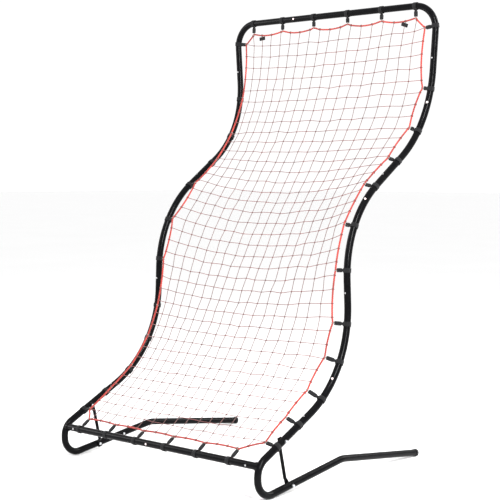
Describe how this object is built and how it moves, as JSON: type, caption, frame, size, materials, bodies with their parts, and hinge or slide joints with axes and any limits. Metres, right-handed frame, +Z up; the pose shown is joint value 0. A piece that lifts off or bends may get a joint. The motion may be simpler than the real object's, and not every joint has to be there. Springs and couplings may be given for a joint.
{
  "type": "pitch back rebounder",
  "caption": "Free-standing S-curved rebounder: bent steel tube frame in plug-together sections, roped rebound net tied inside it, sloping base and two rear legs.",
  "frame": {"origin": "on the floor under the middle of the whole object", "axes": "+Z up; -Y is the front, where the ball is thrown from; +X to the right of somebody facing the front of the net"},
  "size_m": [1.0308, 0.989, 1.6996],
  "materials": {
    "frame_steel": "black powder coat, satin",
    "zinc_hardware": "bright zinc plate",
    "cap_plastic": "black soft plastic",
    "button_steel": "worn nickel plate",
    "spring_steel": "tempered spring strip",
    "tie_webbing": "woven black webbing",
    "tie_tab": "folded and stitched webbing",
    "tie_elastic": "braided elastic cord",
    "net_twine": "knotted polyester twine",
    "border_rope": "twisted red rope",
    "corner_tab": "sewn patch",
    "marker": "printed vinyl, left blank"
  },
  "bodies": {
    "frame": {"assembly_markers": "marker", "base_tube_left": "frame_steel", "base_tube_right": "frame_steel", "border_rope": "border_rope", "brace_bolts": "zinc_hardware", "brace_left": "frame_steel", "brace_nuts": "zinc_hardware", "brace_right": "frame_steel", "button_spring_crossbar_left": "spring_steel", "button_spring_crossbar_right": "spring_steel", "button_spring_lower_left": "spring_steel", "button_spring_lower_right": "spring_steel", "button_spring_middle_left": "spring_steel", "button_spring_middle_right": "spring_steel", "button_spring_top_left": "spring_steel", "button_spring_top_right": "spring_steel", "button_spring_upper_left": "spring_steel", "button_spring_upper_right": "spring_steel", "corner_tabs": "corner_tab", "crossbar": "frame_steel", "crossbar_stub_left": "frame_steel", "crossbar_stub_right": "frame_steel", "end_cap_left": "cap_plastic", "end_cap_right": "cap_plastic", "leg_screws": "zinc_hardware", "lower_tube_left": "frame_steel", "lower_tube_right": "frame_steel", "middle_tube_left": "frame_steel", "middle_tube_right": "frame_steel", "net": "net_twine", "rear_leg_left": "frame_steel", "rear_leg_right": "frame_steel", "tie_bands_bottom": "tie_webbing", "tie_bands_left": "tie_webbing", "tie_bands_right": "tie_webbing", "tie_bands_top": "tie_webbing", "tie_loops_bottom": "tie_elastic", "tie_loops_left": "tie_elastic", "tie_loops_right": "tie_elastic", "tie_loops_top": "tie_elastic", "tie_tabs_bottom": "tie_tab", "tie_tabs_left": "tie_tab", "tie_tabs_right": "tie_tab", "tie_tabs_top": "tie_tab", "top_tube": "frame_steel", "upper_tube_left": "frame_steel", "upper_tube_right": "frame_steel"},
    "snap_button_top_left": {"snap_button_top_left": "button_steel"},
    "snap_button_top_right": {"snap_button_top_right": "button_steel"},
    "snap_button_upper_left": {"snap_button_upper_left": "button_steel"},
    "snap_button_upper_right": {"snap_button_upper_right": "button_steel"},
    "snap_button_middle_left": {"snap_button_middle_left": "button_steel"},
    "snap_button_middle_right": {"snap_button_middle_right": "button_steel"},
    "snap_button_lower_left": {"snap_button_lower_left": "button_steel"},
    "snap_button_lower_right": {"snap_button_lower_right": "button_steel"},
    "snap_button_crossbar_left": {"snap_button_crossbar_left": "button_steel"},
    "snap_button_crossbar_right": {"snap_button_crossbar_right": "button_steel"}
  },
  "joints": [
    {"name": "press_top_left", "type": "slide", "parent": "frame", "child": "snap_button_top_left", "axis": [0, 1, 0], "range_m": [0, 0.004], "stiffness_N_per_m": 800, "deforming": ["button_spring_top_left"]},
    {"name": "press_top_right", "type": "slide", "parent": "frame", "child": "snap_button_top_right", "axis": [0, 1, 0], "range_m": [0, 0.004], "stiffness_N_per_m": 800, "deforming": ["button_spring_top_right"]},
    {"name": "press_upper_left", "type": "slide", "parent": "frame", "child": "snap_button_upper_left", "axis": [0.0194, 0.5706, -0.821], "range_m": [0, 0.004], "stiffness_N_per_m": 800, "deforming": ["button_spring_upper_left"]},
    {"name": "press_upper_right", "type": "slide", "parent": "frame", "child": "snap_button_upper_right", "axis": [-0.0194, 0.5706, -0.821], "range_m": [0, 0.004], "stiffness_N_per_m": 800, "deforming": ["button_spring_upper_right"]},
    {"name": "press_middle_left", "type": "slide", "parent": "frame", "child": "snap_button_middle_left", "axis": [0, 1, 0], "range_m": [0, 0.004], "stiffness_N_per_m": 800, "deforming": ["button_spring_middle_left"]},
    {"name": "press_middle_right", "type": "slide", "parent": "frame", "child": "snap_button_middle_right", "axis": [0, 1, 0], "range_m": [0, 0.004], "stiffness_N_per_m": 800, "deforming": ["button_spring_middle_right"]},
    {"name": "press_lower_left", "type": "slide", "parent": "frame", "child": "snap_button_lower_left", "axis": [0, 0.4586, -0.8886], "range_m": [0, 0.004], "stiffness_N_per_m": 800, "deforming": ["button_spring_lower_left"]},
    {"name": "press_lower_right", "type": "slide", "parent": "frame", "child": "snap_button_lower_right", "axis": [0, 0.4586, -0.8886], "range_m": [0, 0.004], "stiffness_N_per_m": 800, "deforming": ["button_spring_lower_right"]},
    {"name": "press_crossbar_left", "type": "slide", "parent": "frame", "child": "snap_button_crossbar_left", "axis": [0, 1, 0], "range_m": [0, 0.004], "stiffness_N_per_m": 800, "deforming": ["button_spring_crossbar_left"]},
    {"name": "press_crossbar_right", "type": "slide", "parent": "frame", "child": "snap_button_crossbar_right", "axis": [0, 1, 0], "range_m": [0, 0.004], "stiffness_N_per_m": 800, "deforming": ["button_spring_crossbar_right"]}
  ]
}
